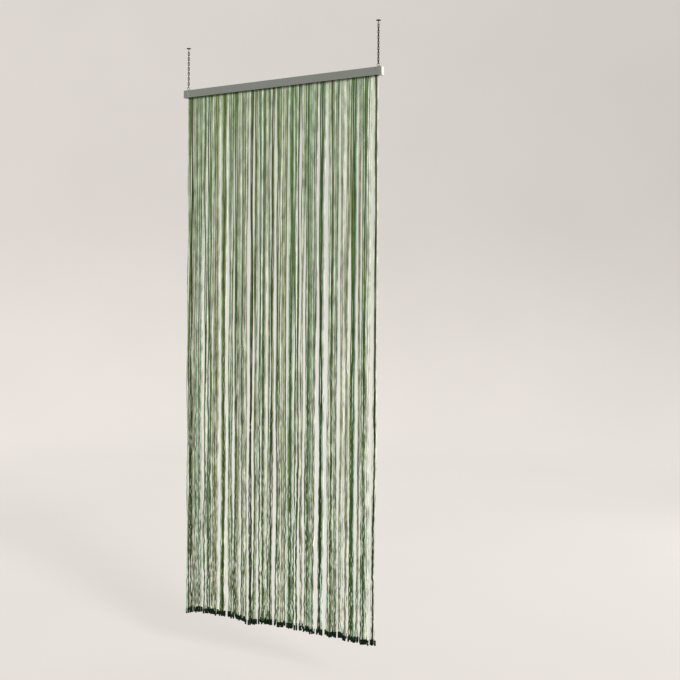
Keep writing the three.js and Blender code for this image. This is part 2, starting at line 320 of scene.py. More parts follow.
class StageSettings(bpy.types.PropertyGroup):
    """What a user would change on the stage, its lights and the camera."""

    wall: bpy.props.FloatVectorProperty(
        name="Backdrop", description="Colour of the floor and backdrop",
        default=(0.78, 0.738, 0.7), size=3, min=0, max=1, subtype="COLOR")
    floor: bpy.props.FloatProperty(
        name="Floor", description="Level of the floor", default=-2.45, unit="LENGTH")
    glow: bpy.props.FloatProperty(
        name="Glow", description="Strength of the soft light from the backdrop", default=0.63,
        min=0, max=5)
    ambient: bpy.props.FloatProperty(
        name="Ambient", description="Strength of the light from above the backdrop",
        default=0.7, min=0, max=5)
    key: bpy.props.FloatProperty(
        name="Key", description="Strength of the main light", default=3.6, min=0, max=20)
    key_from: bpy.props.FloatProperty(
        name="Key from", description="Angle of the main light round from the front",
        default=math.radians(62), subtype="ANGLE")
    key_height: bpy.props.FloatProperty(
        name="Key height", description="Angle of the main light over the horizon",
        default=math.radians(24), subtype="ANGLE")
    rim: bpy.props.FloatProperty(
        name="Rim", description="Power of the soft light from behind the curtain", default=60,
        min=0, max=1000, unit="POWER")
    camera: bpy.props.FloatVectorProperty(
        name="Camera", description="Place of the camera", default=(2.244, -3.4433, -1.0727),
        size=3, subtype="TRANSLATION", unit="LENGTH")
    heading: bpy.props.FloatProperty(
        name="Heading", description="How far the camera is turned to the left",
        default=math.radians(29.75), subtype="ANGLE")
    roll: bpy.props.FloatProperty(
        name="Roll", description="How far the camera leans", default=math.radians(0.232),
        subtype="ANGLE")
    lens: bpy.props.FloatProperty(
        name="Lens", description="Focal length of the camera in millimetres", default=56.56,
        min=10, max=200, unit="CAMERA")
    rise: bpy.props.FloatProperty(
        name="Shift", description="Upward shift of the picture's middle, as a share of its width",
        default=-0.0375, min=-0.5, max=0.5)


class Shade:
    """A socket of a material's node tree. Arithmetic on it adds Math nodes, also reflected."""

    def __init__(self, tree, socket=None):
        self.tree = tree
        self.socket = socket

    def node(self, kind, settings=None, inputs=None, output=0):
        """Adds a node: its settings first, then the values or links of its sockets."""
        made = self.tree.nodes.new(kind)
        for name, value in (settings or {}).items():
            setattr(made, name, value)
        for name, value in (inputs or {}).items():
            socket = made.inputs[name]
            if isinstance(value, Shade):
                self.tree.links.new(value.socket, socket)
            elif socket.type == "RGBA":
                socket.default_value = (*value, 1)
            else:
                socket.default_value = value
        return Shade(self.tree, made.outputs[output])

    def maths(self, operation, *values):
        """A Math node on this value and the others."""
        return self.node("ShaderNodeMath", {"operation": operation},
                         dict(enumerate((self, *values))))

    def __add__(self, other):
        return self.maths("ADD", other)

    __radd__ = __add__

    def __mul__(self, other):
        return self.maths("MULTIPLY", other)

    __rmul__ = __mul__

    def __sub__(self, other):
        return self.maths("SUBTRACT", other)

    def __rsub__(self, other):
        return self.node("ShaderNodeMath", {"operation": "SUBTRACT"}, {0: other, 1: self})

    def __truediv__(self, other):
        return self.maths("DIVIDE", other)

    def __pow__(self, other):
        return self.maths("POWER", other)

    def mix(self, first, second):
        """First colour where this value is 0, second where it is 1."""
        return self.node("ShaderNodeMix", {"data_type": "RGBA"},
                         {0: self, 6: first, 7: second}, output=2)

    def tint(self, colour, darkest, lightest):
        """The colour, times a factor that goes from darkest to lightest with this value."""
        return self.mix(tinted(colour, darkest), tinted(colour, lightest))

    def between(self, low, high):
        """This value, carried from 0 and 1 to a low and a high end."""
        return self * (high - low) + low

    def wave(self):
        """The sine of this angle, carried from -1 and 1 to 0 and 1."""
        return self.maths("SINE") * 0.5 + 0.5

    def noise(self, per_metre, detail=2):
        """Noise from 0 to 1 over this vector, with so many patches to the metre, in all
        directions or in each of the three."""
        if isinstance(per_metre, tuple):
            return self.node("ShaderNodeVectorMath", {"operation": "MULTIPLY"},
                             {0: self, 1: per_metre}).noise(1, detail)
        return self.node("ShaderNodeTexNoise", {}, {
            "Vector": self, "Scale": per_metre, "Detail": detail})

    def parts(self):
        """The three parts of this vector."""
        split = self.node("ShaderNodeSeparateXYZ", {}, {0: self})
        return [Shade(self.tree, socket) for socket in split.socket.node.outputs]

    def bumped(self, distance, strength=1):
        """A bumped normal whose height is this value times a distance in metres."""
        return self.node("ShaderNodeBump", {}, {
            "Height": self, "Distance": distance, "Strength": strength})


def new_material(name, **constants):
    """A material with one Principled shader, the given constants set on it, and its Shade."""
    material = bpy.data.materials.new(name)
    material.use_nodes = True
    shader = material.node_tree.nodes["Principled BSDF"]
    for key, value in constants.items():
        socket = shader.inputs[key.replace("_", " ").title().replace("Ior", "IOR")]
        socket.default_value = (*value, 1) if isinstance(value, tuple) else value
    return material, shader, Shade(material.node_tree)


def plug(shader, name, value):
    """Links a Shade into one of the shader's sockets."""
    value.tree.links.new(value.socket, shader.inputs[name])


def object_place(base):
    """The point on the surface, in metres, as the pieces' own axes give it."""
    return base.node("ShaderNodeTexCoord", output=3)


def tinted(colour, factor):
    """A colour made lighter or darker by a factor, kept between 0 and 1."""
    return tuple(min(1, max(0, part * factor)) for part in colour)


def yarn_material(name, colour, roughness):
    """Satin yarn of four plies. Each ply is round, so its height over the cord is the size of a
    cosine across it, with a sharp valley to the next, which lies in painted shade. Fine fibres
    run down the cord. The colour is a little lighter or darker from cord to cord, and in clouds
    along each cord that are partly its tone and partly a painted sheen. It is nearer the mean of
    all the cords at the top, and dark cords are painted darker on the way down, a painted shade
    of the locks the cords gather into: by DEEPENING times the square of what their green lacks
    to 1."""
    material, shader, base = new_material(name, specular_ior_level=0.1)
    across, along, _ = base.node("ShaderNodeUVMap", {"uv_map": "Plies"}).parts()
    ply = ((across + along) * (PLIES * math.pi)).maths("COSINE").maths("ABSOLUTE")
    fibre = (across * (FIBRES * TURN) + along * FIBRE_SLANT).wave()
    tone = base.node("ShaderNodeAttribute", {"attribute_name": "cord_tone"}, output=2)
    place = object_place(base)
    way = place.parts()[2] / (-CURTAIN_FALL * MM)
    # The clouds along each cord are partly tone and partly a painted sheen
    cloud = place.noise((60, 60, 18))
    # Painted shade: dark cords get darker lower down, where the cords gather into locks
    deepening = DEEPENING * (1 - colour[1]) ** 2
    own = (tone * TONE_SHARE + cloud * CLOUD_SHARE - CLOUD_BIAS - way * deepening).tint(
        colour, YARN_DARK, YARN_LIGHT)
    body = (HAZE - way * HAZE_LOSS).mix(own, MEAN_SHADE)
    lit = (ply ** 0.6 * 0.85 + fibre * 0.15).mix(tinted(colour, VALLEY), body)
    plug(shader, "Base Color", lit)
    plug(shader, "Roughness", roughness + 0.1 - fibre * 0.14)
    plug(shader, "Normal", (ply ** 0.8 + fibre * 0.06).bumped(0.0006))
    return material


def sleeve_material(colour):
    """Dark moulded plastic, slightly uneven."""
    material, shader, base = new_material("sleeve plastic", specular_ior_level=0.06)
    cloud = object_place(base).noise(260)
    plug(shader, "Base Color", cloud.tint(colour, 0.6, 1.7))
    plug(shader, "Roughness", cloud.between(0.5, 0.75))
    plug(shader, "Normal", cloud.bumped(0.0002, 0.5))
    return material


def rail_material(colour):
    """Drawn metal: long fine streaks along the rail and a faint cloudiness."""
    material, shader, base = new_material("rail metal", metallic=0.55)
    place = object_place(base)
    streak = place.noise((4, 900, 900), 3)
    cloud = place.noise((14, 30, 30))
    plug(shader, "Base Color", (streak * 0.6 + cloud * 0.4).tint(colour, 0.82, 1.15))
    plug(shader, "Roughness", streak.between(0.36, 0.56))
    plug(shader, "Normal", streak.bumped(0.0001, 0.3))
    return material


def cap_material(colour, end):
    """Moulded plastic with a fine grain. The caps' outer faces, but for their front edge, carry a
    painted highlight: a paler colour for the light from the side."""
    material, shader, base = new_material("cap plastic", coat_weight=0.35, coat_roughness=0.25)
    place = object_place(base)
    grain = place.noise(2200, 3)
    cloud = place.noise(160)
    along, depth, _ = place.parts()
    # Painted highlight on the caps' outer faces, but for their front edge
    plate = (along.maths("ABSOLUTE").maths("GREATER_THAN", PAINTED_HIGHLIGHT_X * MM)
             * depth.maths("GREATER_THAN", PAINTED_HIGHLIGHT_Y * MM))
    side = (cloud * 0.7 + grain * 0.3).tint(colour, 0.75, 1.25)
    plug(shader, "Base Color", plate.mix(side, end))
    plug(shader, "Roughness", grain.between(0.32, 0.52))
    plug(shader, "Normal", grain.bumped(0.0001, 0.35))
    return material


def steel_material(name, colour, roughness, metallic):
    """Steel wire with fine drawn scratches and darker worn patches."""
    material, shader, base = new_material(name, metallic=metallic, specular_ior_level=0.25)
    place = object_place(base)
    patch = place.noise(420, 3)
    scratch = place.noise((2600, 2600, 500))
    plug(shader, "Base Color", patch.tint(colour, 0.6, 1.25))
    plug(shader, "Roughness", scratch * 0.18 + patch * 0.12 + (roughness - 0.15))
    plug(shader, "Normal", scratch.bumped(0.00005, 0.4))
    return material


def tape_material(colour):
    """Woven tape: ribs across the strip and threads along it."""
    material, shader, base = new_material("heading tape", sheen_weight=0.2)
    along, across, _ = object_place(base).parts()
    rib = (along * (TURN / RIB_WIDTH)).wave()
    thread = (across * (TURN / THREAD_WIDTH)).wave()
    weave = rib * 0.6 + thread * 0.4
    plug(shader, "Base Color", weave.tint(colour, 0.5, 1.5))
    plug(shader, "Roughness", 0.9 - weave * 0.2)
    plug(shader, "Normal", weave.bumped(0.0003))
    return material


def backdrop_material(colour, glow):
    """Matt painted plaster, very slightly cloudy, that glows more towards the floor: by the
    square of GLOW_START plus GLOW_GROWTH for each metre down."""
    material, shader, base = new_material(
        "backdrop paint", specular_ior_level=0.1, emission_strength=glow)
    place = object_place(base)
    cloud = place.noise(0.8, 3)
    low = (place.parts()[2] * -GLOW_GROWTH + GLOW_START).maths("MAXIMUM", 0) ** 2
    plug(shader, "Base Color", cloud.tint(colour, 0.2, 0.22))
    plug(shader, "Emission Color", (low * 0.85 + cloud * 0.15).tint(colour, 0.84, 1.24))
    plug(shader, "Roughness", cloud.between(0.85, 0.95))
    return material


def grid_faces(rows, columns, round_rows=False, round_columns=True):
    """Quads between neighbours of a grid of points that are numbered row by row. The rows, the
    columns or both may run round and meet themselves."""
    row = np.arange(rows if round_rows else rows - 1)[:, None]
    column = np.arange(columns if round_columns else columns - 1)[None, :]
    next_row = (row + 1) % rows
    next_column = (column + 1) % columns
    corners = [row * columns + column, row * columns + next_column,
               next_row * columns + next_column, next_row * columns + column]
    return np.stack(np.broadcast_arrays(*corners), axis=-1).reshape(-1, 4)


def wire_along(path, across, radius, sides, closed=False):
    """Round wire: at each point of a path in one plane, a circle whose one axis is the plane's
    normal and whose other axis is that normal crossed with the path's direction. An open wire
    ends in two smaller circles and a point, which round it off. Returns points and quads."""
    path = np.asarray(path, float)
    across = np.asarray(across, float)
    if closed:
        way = np.roll(path, -1, axis=0) - np.roll(path, 1, axis=0)
        reach = np.full(len(path), radius)
    else:
        way = np.gradient(path, axis=0)
        ends = way[[0, -1]] / np.linalg.norm(way[[0, -1]], axis=1, keepdims=True)
        angle = np.radians([90, 60, 30])
        out = radius * np.sin(angle)[:, None]
        path = np.vstack([path[0] - out * ends[0], path, path[-1] + out[::-1] * ends[1]])
        way = np.vstack([np.repeat(ends[:1], 3, axis=0), way, np.repeat(ends[1:], 3, axis=0)])
        tip = radius * np.cos(angle)
        reach = np.concatenate([tip, np.full(len(path) - 6, radius), tip[::-1]])
    way = way / np.linalg.norm(way, axis=1, keepdims=True)
    side = np.cross(np.broadcast_to(across, way.shape), way)
    turn = TURN * np.arange(sides) / sides
    ring = (np.cos(turn)[None, :, None] * across + np.sin(turn)[None, :, None] * side[:, None, :])
    points = path[:, None, :] + reach[:, None, None] * ring
    return points.reshape(-1, 3), grid_faces(len(path), sides, round_rows=closed)


def turned(profile, sides):
    """Turned form: each radius and height of the profile is carried round the Z axis. Radii of
    nought at both ends close it."""
    radius, height = np.asarray(profile, float).T
    turn = TURN * np.arange(sides) / sides
    points = np.stack([
        radius[:, None] * np.cos(turn), radius[:, None] * np.sin(turn),
        np.broadcast_to(height[:, None], (len(radius), sides))], axis=-1)
    return points.reshape(-1, 3), grid_faces(len(radius), sides)


def gathered_parts(parts):
    """Several pairs of points and faces as one pair."""
    points, faces, start = [], [], 0
    for part_points, part_faces in parts:
        points.append(part_points)
        faces.append(np.asarray(part_faces) + start)
        start += len(part_points)
    return np.vstack(points), np.vstack(faces)


def turned_about(points, angle, place):
    """Points turned about the upright line through the origin and then moved to a place."""
    cos, sin = math.cos(angle), math.sin(angle)
    matrix = np.array([(cos, sin, 0), (-sin, cos, 0), (0, 0, 1)])
    return points @ matrix + np.asarray(place, float)


def make_piece(name, points, faces, material, replaced, weld=True, smooth=True):
    """A mesh object at the origin from points in millimetres, riding on the root body and
    standing for the named solids. Doubles are merged and the faces turned outwards, if asked."""
    mesh = bpy.data.meshes.new(name)
    if not isinstance(faces, list):
        faces = [faces]
    mesh.from_pydata((points * MM).tolist(), [], sum((part.tolist() for part in faces), []))
    mesh.polygons.foreach_set("use_smooth", np.full(len(mesh.polygons), smooth))
    if weld:
        work = bmesh.new()
        work.from_mesh(mesh)
        bmesh.ops.remove_doubles(work, verts=work.verts, dist=WELD)
        bmesh.ops.recalc_face_normals(work, faces=work.faces)
        work.to_mesh(mesh)
        work.free()
    mesh.materials.append(material)
    mesh.update()
    piece = bpy.data.objects.new(name, mesh)
    bpy.context.scene.collection.objects.link(piece)
    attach(piece, "root")
    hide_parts(*replaced)
    return piece


def cord_homes():
    """Place of each cord along the strip: evenly over the span."""
    return CORD_SPAN * (np.arange(CORD_COUNT) / (CORD_COUNT - 1) - 0.5)


def cord_ends():
    """Depth of each cord's lowest point: the curtain's fall less the trim there and a scatter."""
    homes = cord_homes()
    trim = np.interp(homes, TRIMS["at"], TRIMS["trim"])
    return CURTAIN_FALL - trim - LENGTH_SPREAD * (np.arange(CORD_COUNT) * BRONZE % 1)


def hanging_places(depth):
    """Where each cord hangs at each depth: between the gaps on its left and right, which open as
    1 - 0.5^(depth / half way), with the slow sway of its lock and a faster sway of its own,
    both sines of the depth. The whole curtain leans to the left and narrows evenly with the
    depth, and its two rows part. Returns x and y by cord and depth."""
    edge = CORD_SPAN / 2 + CORD_EDGE
    bound = np.concatenate([[-edge], GAPS["at"], [edge]])
    width = np.concatenate([[0], GAPS["width"] + GAP_SPREAD, [0]])
    opens = np.concatenate([[1], GAPS["opens"], [1]])
    cord = np.arange(CORD_COUNT)
    homes = cord_homes()
    lock = np.searchsorted(bound, homes, side="right") - 1
    opened = 1 - 0.5 ** (depth[None, :] / opens[:, None])
    low = bound[lock][:, None] + (opened * width[:, None])[lock] / 2
    high = bound[lock + 1][:, None] - (opened * width[:, None])[lock + 1] / 2
    share = ((homes - bound[lock]) / (bound[lock + 1] - bound[lock]))[:, None]
    grown = 1 - 0.5 ** (depth / SWAY_GROWTH)
    wave = (CORD_WAVE + CORD_WAVE_SPREAD * (cord * SILVER % 1))[:, None]
    sway = LOCK_SWAY * np.sin(TURN * (depth / LOCK_WAVE + lock[:, None] * GOLDEN))
    sway += CORD_SWAY * np.sin(TURN * (depth / wave + cord[:, None] * GOLDEN))
    back = DEPTH_SWAY * np.sin(TURN * (depth / wave + cord[:, None] * BRONZE))
    row = np.where(cord % 2 == 0, -ROW_DEPTH / 2, ROW_DEPTH / 2)[:, None]
    way = depth / CURTAIN_FALL
    leant = (low + (high - low) * share) * (1 - NARROWING * way) - LEAN * way
    return leant + grown * sway, row * (ROW_START + (1 - ROW_START) * grown) + grown * back


@functools.cache
def cord_paths(curl, clearance, end_clearance):
    """Paths of all the cords. The hanging places get a curl, three sines of 26 to 190 mm whose
    reach grows with the square of the depth. Then cords that come nearer than the clearance,
    which grows at their ends, are pushed apart in X and Y, and what they have moved is smoothed
    along them, in turns, the last few turns unsmoothed. Returns the depths, x and y."""
    depth = np.arange(0, CURTAIN_FALL + PATH_SPARE, PATH_STEP)
    hung = np.array(hanging_places(depth))
    draw = np.random.default_rng(SEED)
    reach = curl * (CURL_START + (1 - CURL_START) * (depth / CURTAIN_FALL) ** 2)
    for values, size in zip(hung, (1, CURL_BACK)):
        for shortest, longest, share in CURLS.tolist():
            length = draw.uniform(shortest, longest, (CORD_COUNT, 1))
            phase = draw.uniform(0, 1, (CORD_COUNT, 1))
            values += size * share * reach * np.sin(TURN * (depth / length + phase))
    loose = np.clip(depth / HELD, 0, 1)
    at_end = np.clip((depth - CURTAIN_FALL + END_START) / END_GROWTH, 0, 1)
    clear = clearance + (end_clearance - clearance) * at_end
    moved = np.zeros_like(hung)
    for turn in range(PUSH_TURNS):
        for step in NEIGHBOURS:
            apart = hung[:, step:] + moved[:, step:] - hung[:, :-step] - moved[:, :-step]
            distance = np.maximum(np.hypot(*apart), 0.1)
            push = 0.5 * loose * np.clip(clear - distance, 0, None) / distance * apart
            moved[:, step:] += push
            moved[:, :-step] -= push
        if turn < PUSH_TURNS - ROUGH_TURNS:
            moved[:, :, 1:-1] = (
                0.25 * (moved[:, :, :-2] + moved[:, :, 2:]) + 0.5 * moved[:, :, 1:-1])
    x, y = hung + moved
    return depth, x, y


def along_paths(chosen, depths):
    """x and y of the chosen cords, each at its own row of depths, read straight between the
    points of its path."""
    cords = bpy.context.scene.curtain_cords
    sleeves = bpy.context.scene.curtain_sleeves
    levels, x, y = cord_paths(
        cords.curl / MM, BEDDING * cords.radius / MM, BEDDING * sleeves.radius / MM)
    place = np.clip(depths, 0, levels[-1]) / (levels[1] - levels[0])
    low = np.minimum(place.astype(int), len(levels) - 2)
    part = place - low
    return [np.take_along_axis(values[chosen], low, 1) * (1 - part)
            + np.take_along_axis(values[chosen], low + 1, 1) * part for values in (x, y)]


def cord_shades():
    """The shade's letter of each cord: a charted repeat, with the streaks laid over it."""
    letters = np.array([REPEAT[cord % len(REPEAT)] for cord in range(CORD_COUNT)])
    homes = cord_homes()
    for place, count, shades in STREAKS.tolist():
        nearest = np.argsort(np.abs(homes - place))[:count]
        letters[nearest] = [shades[number % len(shades)] for number in range(count)]
    return letters


def round_cords(chosen, settings):
    """Points, faces and maps of the chosen cords, and how many points each has. A circle is
    carried down each cord's path, with its rings of corners closer together lower down, and a
    flat face closes each end. The Plies map runs once round the cord and counts the turns of its
    lay downwards. The other map lays each half of a cord out as an upright strip of its own."""
    radius, lay = settings.radius / MM, settings.lay / MM
    top = RAIL_BOTTOM - STRIP_BOTTOM - STRIP_OVERLAP
    ends = cord_ends() - SLEEVE_OVERLAP
    way = np.linspace(0, 1, RING_COUNT)
    depths = top + (ends[chosen, None] - top) * way * (1 + RING_CROWDING - RING_CROWDING * way)
    x, y = along_paths(chosen, depths)
    angle = TURN * np.arange(CORD_SIDES) / CORD_SIDES
    points = np.stack(np.broadcast_arrays(
        x[:, :, None] + radius * np.cos(angle), y[:, :, None] + radius * np.sin(angle),
        (RAIL_BOTTOM - depths)[:, :, None]), -1)
    quads = grid_faces(RING_COUNT, CORD_SIDES)[:, ::-1]
    row, column = np.divmod(np.arange(len(quads)), CORD_SIDES)
    across = (column[:, None] + np.array([0, 1, 1, 0])) / CORD_SIDES
    ring = row[:, None] + np.array([1, 1, 0, 0])
    per_cord = RING_COUNT * CORD_SIDES
    start = per_cord * np.arange(len(chosen))
    sides = (quads + start[:, None, None]).reshape(-1, 4)
    rim = np.arange(CORD_SIDES)
    lids = np.concatenate([start[:, None] + rim,
                           start[:, None] + per_cord - CORD_SIDES + rim[::-1]])
    hand = np.where(chosen % HAND_REPEAT == OTHER_HAND, -1, 1)[:, None, None]
    turns = np.take_along_axis(depths[:, None, :], np.broadcast_to(
        ring, (len(chosen), *ring.shape)).reshape(len(chosen), 1, -1), 2) / lay
    turns = hand * turns.reshape(len(chosen), *ring.shape) + (chosen * GOLDEN)[:, None, None]
    first_half = RING_COUNT // 2
    half = (row >= first_half)[:, None]
    place = 2 * np.arange(len(chosen))[:, None, None] + half
    pack_x = (place + PACK_SIDE + (1 - 2 * PACK_SIDE) * across) / (2 * len(chosen))
    pack_y = PACK_END + (1 - 2 * PACK_END) * (ring - half * first_half) / (RING_COUNT - first_half)
    whole = np.broadcast_arrays(across, turns, pack_x, pack_y)
    across, turns, pack_x, pack_y = (values.ravel() for values in whole)
    unmapped = np.zeros((lids.size, 2))
    maps = {"Plies": np.vstack([np.stack([across, turns], -1), unmapped]),
            "OFBake": np.vstack([np.stack([pack_x, pack_y], -1), unmapped])}
    return points.reshape(-1, 3), [sides, lids], maps, per_cord


class CURTAIN_OT_cords(bpy.types.Operator):
    """Hangs the twisted cords, one mesh for each shade"""

    bl_idname = "curtain.cords"
    bl_label = "Hang the cords"

    def execute(self, context):
        settings = context.scene.curtain_cords
        letters = cord_shades()
        for letter, shade in SHADES.items():
            chosen = np.flatnonzero(letters == letter)
            points, faces, maps, per_cord = round_cords(chosen, settings)
            material = yarn_material(
                f"{shade} yarn", tuple(getattr(settings, shade)), settings.roughness)
            piece = make_piece(
                f"cords_{shade}", points, faces, material, ["cord_curtain"], weld=False)
            for name, values in maps.items():
                layer = piece.data.uv_layers.new(name=name)
                layer.uv.foreach_set("vector", values.ravel())
            tone = piece.data.attributes.new("cord_tone", "FLOAT", "POINT")
            tone.data.foreach_set("value", np.repeat(chosen * SILVER % 1, per_cord))
        return {"FINISHED"}


class CURTAIN_OT_sleeves(bpy.types.Operator):
    """Fits a dark sleeve on the lower end of every cord"""

    bl_idname = "curtain.sleeves"
    bl_label = "Fit the end sleeves"

    def execute(self, context):
        settings = context.scene.curtain_sleeves
        radius, length = settings.radius / MM, settings.length / MM
        profile = np.stack(
            [SLEEVE_PROFILE["radius"] * radius, SLEEVE_PROFILE["down"] * -length], -1)
        points, faces = turned(profile, SLEEVE_SIDES)
        ends = cord_ends()
        x, y = along_paths(np.arange(CORD_COUNT), ends[:, None])
        places = np.stack([x[:, 0], y[:, 0], RAIL_BOTTOM - ends + length], -1)
        all_points = (places[:, None, :] + points).reshape(-1, 3)
        start = len(points) * np.arange(CORD_COUNT)[:, None, None]
        make_piece("end_sleeves", all_points, (start + faces).reshape(-1, 4),
                   sleeve_material(tuple(settings.colour)), ["cord_curtain"])
        return {"FINISHED"}


class CURTAIN_OT_strip(bpy.types.Operator):
    """Makes the woven heading strip in the rail: a round-edged rectangle along its length"""

    bl_idname = "curtain.strip"
    bl_label = "Make the heading strip"

    def execute(self, context):
        half_width = STRIP_HIGH[1]
        half_length = CORD_SPAN / 2 + STRIP_END
        full = half_length - STRIP_TAPER
        turn = np.radians(np.arange(0, 360, 15) + 7.5)
        y = (half_width - STRIP_EDGE) * np.sign(np.cos(turn)) + STRIP_EDGE * np.cos(turn)
        z = (STRIP_HEIGHT / 2 - STRIP_EDGE) * np.sign(np.sin(turn)) + STRIP_EDGE * np.sin(turn)
        middle = (STRIP_TOP + STRIP_BOTTOM) / 2
        sections = [(-half_length, 0), (-half_length, STRIP_END_SHARE), (-full, 1),
                    (full, 1), (half_length, STRIP_END_SHARE), (half_length, 0)]
        points = np.concatenate([np.stack([np.full_like(y, at), y * size, middle + z * size], -1)
                                 for at, size in sections])
        make_piece("heading_strip", points, grid_faces(len(sections), len(turn)),
                   tape_material(tuple(context.scene.curtain_rail.strip)),
                   ["cord_curtain"], smooth=False)
        return {"FINISHED"}


class CURTAIN_OT_rail(bpy.types.Operator):
    """Gives the rail and its two end caps their finish"""

    bl_idname = "curtain.rail"
    bl_label = "Finish the rail and caps"

    def execute(self, context):
        settings = context.scene.curtain_rail
        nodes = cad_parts
        cap = cap_material(tuple(settings.cap), tuple(settings.end))
        for name, material in (("rail", rail_material(tuple(settings.metal))),
                               ("end_cap_left", cap), ("end_cap_right", cap)):
            mesh = nodes[name].data
            mesh.materials.clear()
            mesh.materials.append(material)
        return {"FINISHED"}


# The eyes, chains and hooks stand over the caps, at the places of the solids. Levels count from
# the rail's top. Both sides' places along the rail, and how far each chain is turned
EYE_X = 432.5
SIDES = {"left": -1, "right": 1}
CHAIN_TURN = {"left": math.radians(38), "right": 0.0}
CAP_PROUD = 0.4
GAP = 0.3

# Rings of the eyes and hooks: radius of the wire's middle, steps round it and sides of the wire
RING_RADIUS = 5.3
RING_STEPS = 40
RING_SIDES = 14

# Screw eyes: level of the ring, the collar with its bevels at foot and top, the shank and its tip
EYE_CENTRE = 9
COLLAR_RADIUS = 2.6
COLLAR_HEIGHT = 1.2
COLLAR_FOOT = 0.2
COLLAR_BEVEL = 0.5
COLLAR_DROP = 0.35
SHANK_RADIUS = 1.4
SHANK_LENGTH = 8
TIP_RADIUS = 0.8
TIP_LENGTH = 1
POST_SIDES = 16

# Chain links: number, distance, outer width, level of the first, steps round it and sides of
# the wire
LINK_COUNT = 14
LINK_PITCH = 10
LINK_WIDTH = 8.1
FIRST_LINK = 18.05
LINK_STEPS = 28
LINK_SIDES = 10

# Ceiling hooks: level of the ring, its open arc, and the round plate, whose profile runs from its
# flat top down, first in from the rim and then out from the wire
HOOK_CENTRE = 157.1
HOOK_STEPS = 36
HOOK_START = math.radians(92)
HOOK_SWEEP = math.radians(-312)
PLATE_RADIUS = 9
PLATE_SIDES = 32
PLATE_RIM = np.array([
    (0.4, 0), (0, 0.5), (0, 1.3), (0.8, 2.2), (1.8, 2.5),
], dtype=[("inwards", float), ("down", float)])
PLATE_STEM = np.array([
    (1.2, 2.5), (0.4, 2.8), (0, 3.5),
], dtype=[("outwards", float), ("down", float)])


def ring_path(radius, steps, start=0.0, sweep=TURN, closed=True):
    """An arc in the plane of Y and Z round the origin: the cosine and sine of an angle that runs
    from the start over the sweep in even steps."""
    angle = start + sweep * np.arange(steps) / (steps if closed else steps - 1)
    return np.stack([np.zeros(steps), radius * np.cos(angle), radius * np.sin(angle)], -1)


class CURTAIN_OT_eyes(bpy.types.Operator):
    """Makes the two screw eyes on the caps, each a ring on a turned shank and collar"""

    bl_idname = "curtain.eyes"
    bl_label = "Make the screw eyes"

    def execute(self, context):
        settings = context.scene.curtain_hangers
        wire = settings.ring_wire / MM / 2
        seat = RAIL_TOP + CAP_PROUD + GAP
        collar_top = seat + COLLAR_HEIGHT
        tip = RAIL_TOP - SHANK_LENGTH
        ring_foot = RAIL_TOP + EYE_CENTRE - RING_RADIUS
        ring, ring_faces = wire_along(
            ring_path(RING_RADIUS, RING_STEPS), (1, 0, 0), wire, RING_SIDES, closed=True)
        post = turned([
            (0, tip), (TIP_RADIUS, tip), (SHANK_RADIUS, tip + TIP_LENGTH), (SHANK_RADIUS, seat),
            (COLLAR_RADIUS - COLLAR_FOOT, seat), (COLLAR_RADIUS, seat + COLLAR_FOOT),
            (COLLAR_RADIUS, collar_top - COLLAR_DROP), (COLLAR_RADIUS - COLLAR_BEVEL, collar_top),
            (wire, collar_top), (wire, ring_foot), (0, ring_foot + wire)], POST_SIDES)
        eye, faces = gathered_parts([(ring + (0, 0, RAIL_TOP + EYE_CENTRE), ring_faces), post])
        material = steel_material("bright steel", tuple(settings.bright), 0.3, 1.0)
        for side, sign in SIDES.items():
            points = turned_about(eye, CHAIN_TURN[side] + TURN / 4, (sign * EYE_X, 0, 0))
            make_piece(f"eye_{side}", points, faces, material, [f"screw_eye_{side}"])
        return {"FINISHED"}


class CURTAIN_OT_chains(bpy.types.Operator):
    """Links the two chains: equal oval links, each a quarter turn round from the one below"""

    bl_idname = "curtain.chains"
    bl_label = "Link the chains"

    def execute(self, context):
        settings = context.scene.curtain_hangers
        wire = settings.link_wire / MM / 2
        bend = LINK_WIDTH / 2 - wire
        stretch = (LINK_PITCH + GAP) / 2 + wire - bend
        path = ring_path(bend, LINK_STEPS, start=TURN / LINK_STEPS / 2)
        path[:, 2] += stretch * np.sign(path[:, 2])
        link, link_faces = wire_along(path, (1, 0, 0), wire, LINK_SIDES, closed=True)
        material = steel_material("dark steel", tuple(settings.dark), 0.55, 0.0)
        for side, sign in SIDES.items():
            parts = []
            for number in range(LINK_COUNT):
                angle = CHAIN_TURN[side] + (TURN / 4 if number % 2 else 0)
                level = RAIL_TOP + FIRST_LINK + number * LINK_PITCH
                parts.append((turned_about(link, angle, (sign * EYE_X, 0, level)), link_faces))
            points, faces = gathered_parts(parts)
            names = [f"chain_link_{side}_{number + 1:02d}" for number in range(LINK_COUNT)]
            make_piece(f"chain_{side}", points, faces, material, names)
        return {"FINISHED"}


class CURTAIN_OT_hooks(bpy.types.Operator):
    """Makes the two ceiling hooks, each an open ring on a turned stem and plate"""

    bl_idname = "curtain.hooks"
    bl_label = "Make the ceiling hooks"

    def execute(self, context):
        settings = context.scene.curtain_hangers
        wire = settings.ring_wire / MM / 2
        centre = RAIL_TOP + HOOK_CENTRE
        ring_top = centre + RING_RADIUS
        arc = ring_path(RING_RADIUS, HOOK_STEPS, HOOK_START, HOOK_SWEEP, closed=False)
        bent = wire_along(arc + (0, 0, centre), (1, 0, 0), wire, RING_SIDES)
        plate = turned(np.concatenate([
            [(0, 0)],
            np.stack([PLATE_RADIUS - PLATE_RIM["inwards"], -PLATE_RIM["down"]], -1),
            np.stack([wire + PLATE_STEM["outwards"], -PLATE_STEM["down"]], -1),
            [(wire, ring_top), (0, ring_top - wire / 2)]]), PLATE_SIDES)
        hook, faces = gathered_parts([bent, plate])
        material = bpy.data.materials["dark steel"]
        for side, sign in SIDES.items():
            points = turned_about(hook, CHAIN_TURN[side], (sign * EYE_X, 0, 0))
            make_piece(f"hook_{side}", points, faces, material, [f"ceiling_hook_{side}"])
        return {"FINISHED"}


